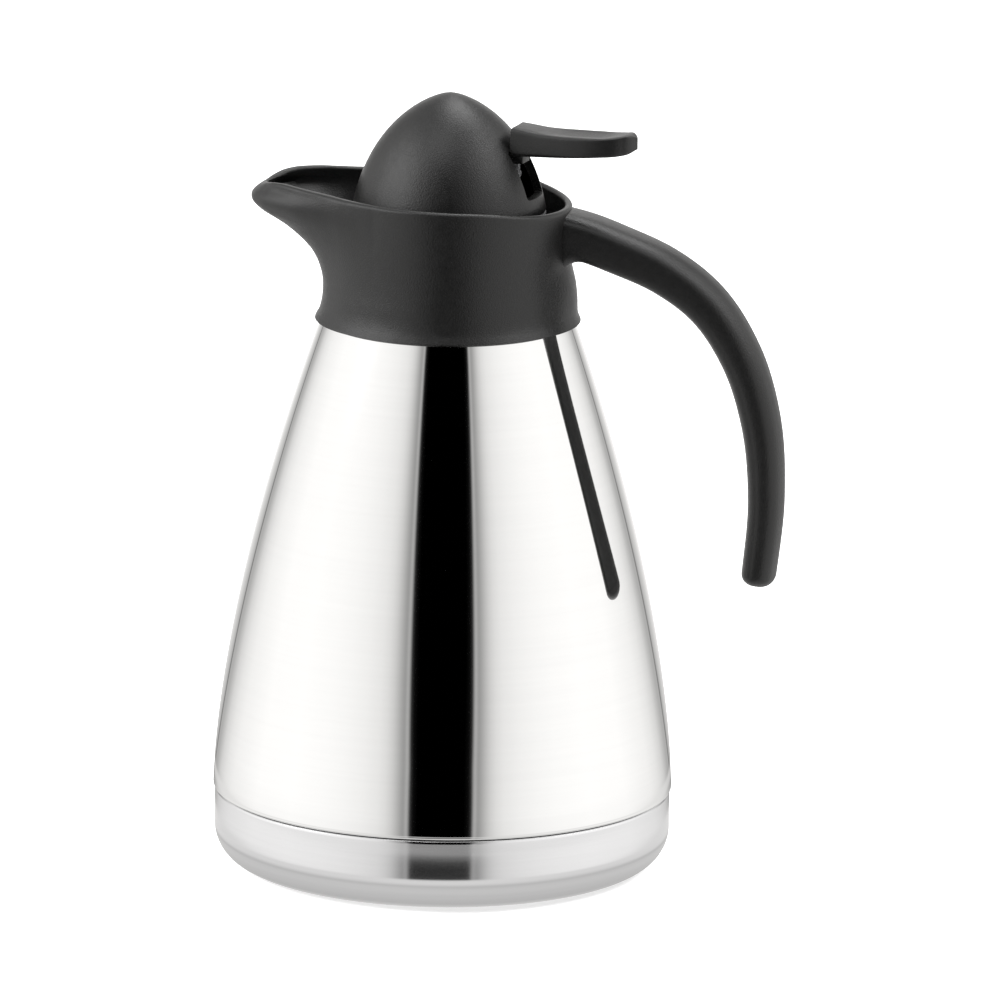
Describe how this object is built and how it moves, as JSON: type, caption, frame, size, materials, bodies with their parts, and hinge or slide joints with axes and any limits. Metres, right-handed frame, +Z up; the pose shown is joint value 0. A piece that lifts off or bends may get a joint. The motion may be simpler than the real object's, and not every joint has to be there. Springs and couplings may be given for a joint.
{
  "type": "vacuum serving jug",
  "caption": "Double-wall steel coffee jug with a flared base, moulded pouring collar and open handle, and a screw-in domed stopper whose thumb lever opens a valve.",
  "frame": {"origin": "centre of the flat underside of the base cup, on the jug's own axis", "axes": "+Z up along the jug's axis, +X towards the handle and -X towards the pouring lip, +Y to the left of someone who holds the handle and looks over the lip"},
  "size_m": [0.1672, 0.1364, 0.232],
  "materials": {
    "polished_steel": "mirror polished stainless steel, drawn and buffed, very fine brushing left in the reflections",
    "drawn_steel": "drawn stainless steel, satin inside",
    "copper_foil": "thin rolled copper foil",
    "getter_alloy": "pressed porous metal",
    "solder_glass": "dark fused glass bead",
    "charcoal_plastic": "charcoal moulded plastic with a fine grain, satin",
    "grey_plastic": "light grey moulded plastic, satin",
    "silicone": "translucent grey silicone",
    "pin_steel": "turned stainless steel"
  },
  "bodies": {
    "jug": {"outer_shell": "polished_steel", "inner_flask": "drawn_steel", "shell_dish": "drawn_steel", "radiation_foil": "copper_foil", "getter_pad": "getter_alloy", "evacuation_seal": "solder_glass", "base_cup": "polished_steel", "collar": "charcoal_plastic", "throat_ring": "grey_plastic", "neck_seal": "silicone", "handle": "charcoal_plastic"},
    "gasket": {"stopper_gasket": "silicone"},
    "stopper": {"stopper_body": "grey_plastic", "dome": "charcoal_plastic", "lever_bracket": "grey_plastic", "bracket_screw_near": "pin_steel", "bracket_screw_far": "pin_steel", "lever_pin": "pin_steel"},
    "lever": {"lever": "charcoal_plastic"},
    "valve": {"valve_rod": "pin_steel", "rod_nut": "pin_steel", "valve_disc": "grey_plastic", "valve_seal": "silicone", "valve_clip": "pin_steel", "valve_spring": "pin_steel"}
  },
  "joints": [
    {"name": "stopper_lift", "type": "slide", "parent": "jug", "child": "gasket", "axis": [0, 0, 1], "range_m": [0, 0.072]},
    {"name": "stopper_turn", "type": "hinge", "parent": "gasket", "child": "stopper", "pos_m": [0, 0, 0.185], "axis": [0, 0, 1], "range_deg": [-2, 1082]},
    {"name": "valve_lift", "type": "slide", "parent": "stopper", "child": "valve", "axis": [0, 0, 1], "range_m": [0, 0.00335], "stiffness_N_per_m": 430, "springref_m": -0.0096, "deforming": ["valve_spring"]},
    {"name": "lever_press", "type": "hinge", "parent": "stopper", "child": "lever", "pos_m": [0.01576, -0.00278, 0.2126], "axis": [0.1736, 0.9848, 0], "range_deg": [-0.5, 12.5]}
  ],
  "couplings": [
    {"joint": "stopper_turn", "follows": "stopper_lift", "rad_per_m": 261.8},
    {"joint": "lever_press", "follows": "valve_lift", "rad_per_m": 62.5}
  ]
}
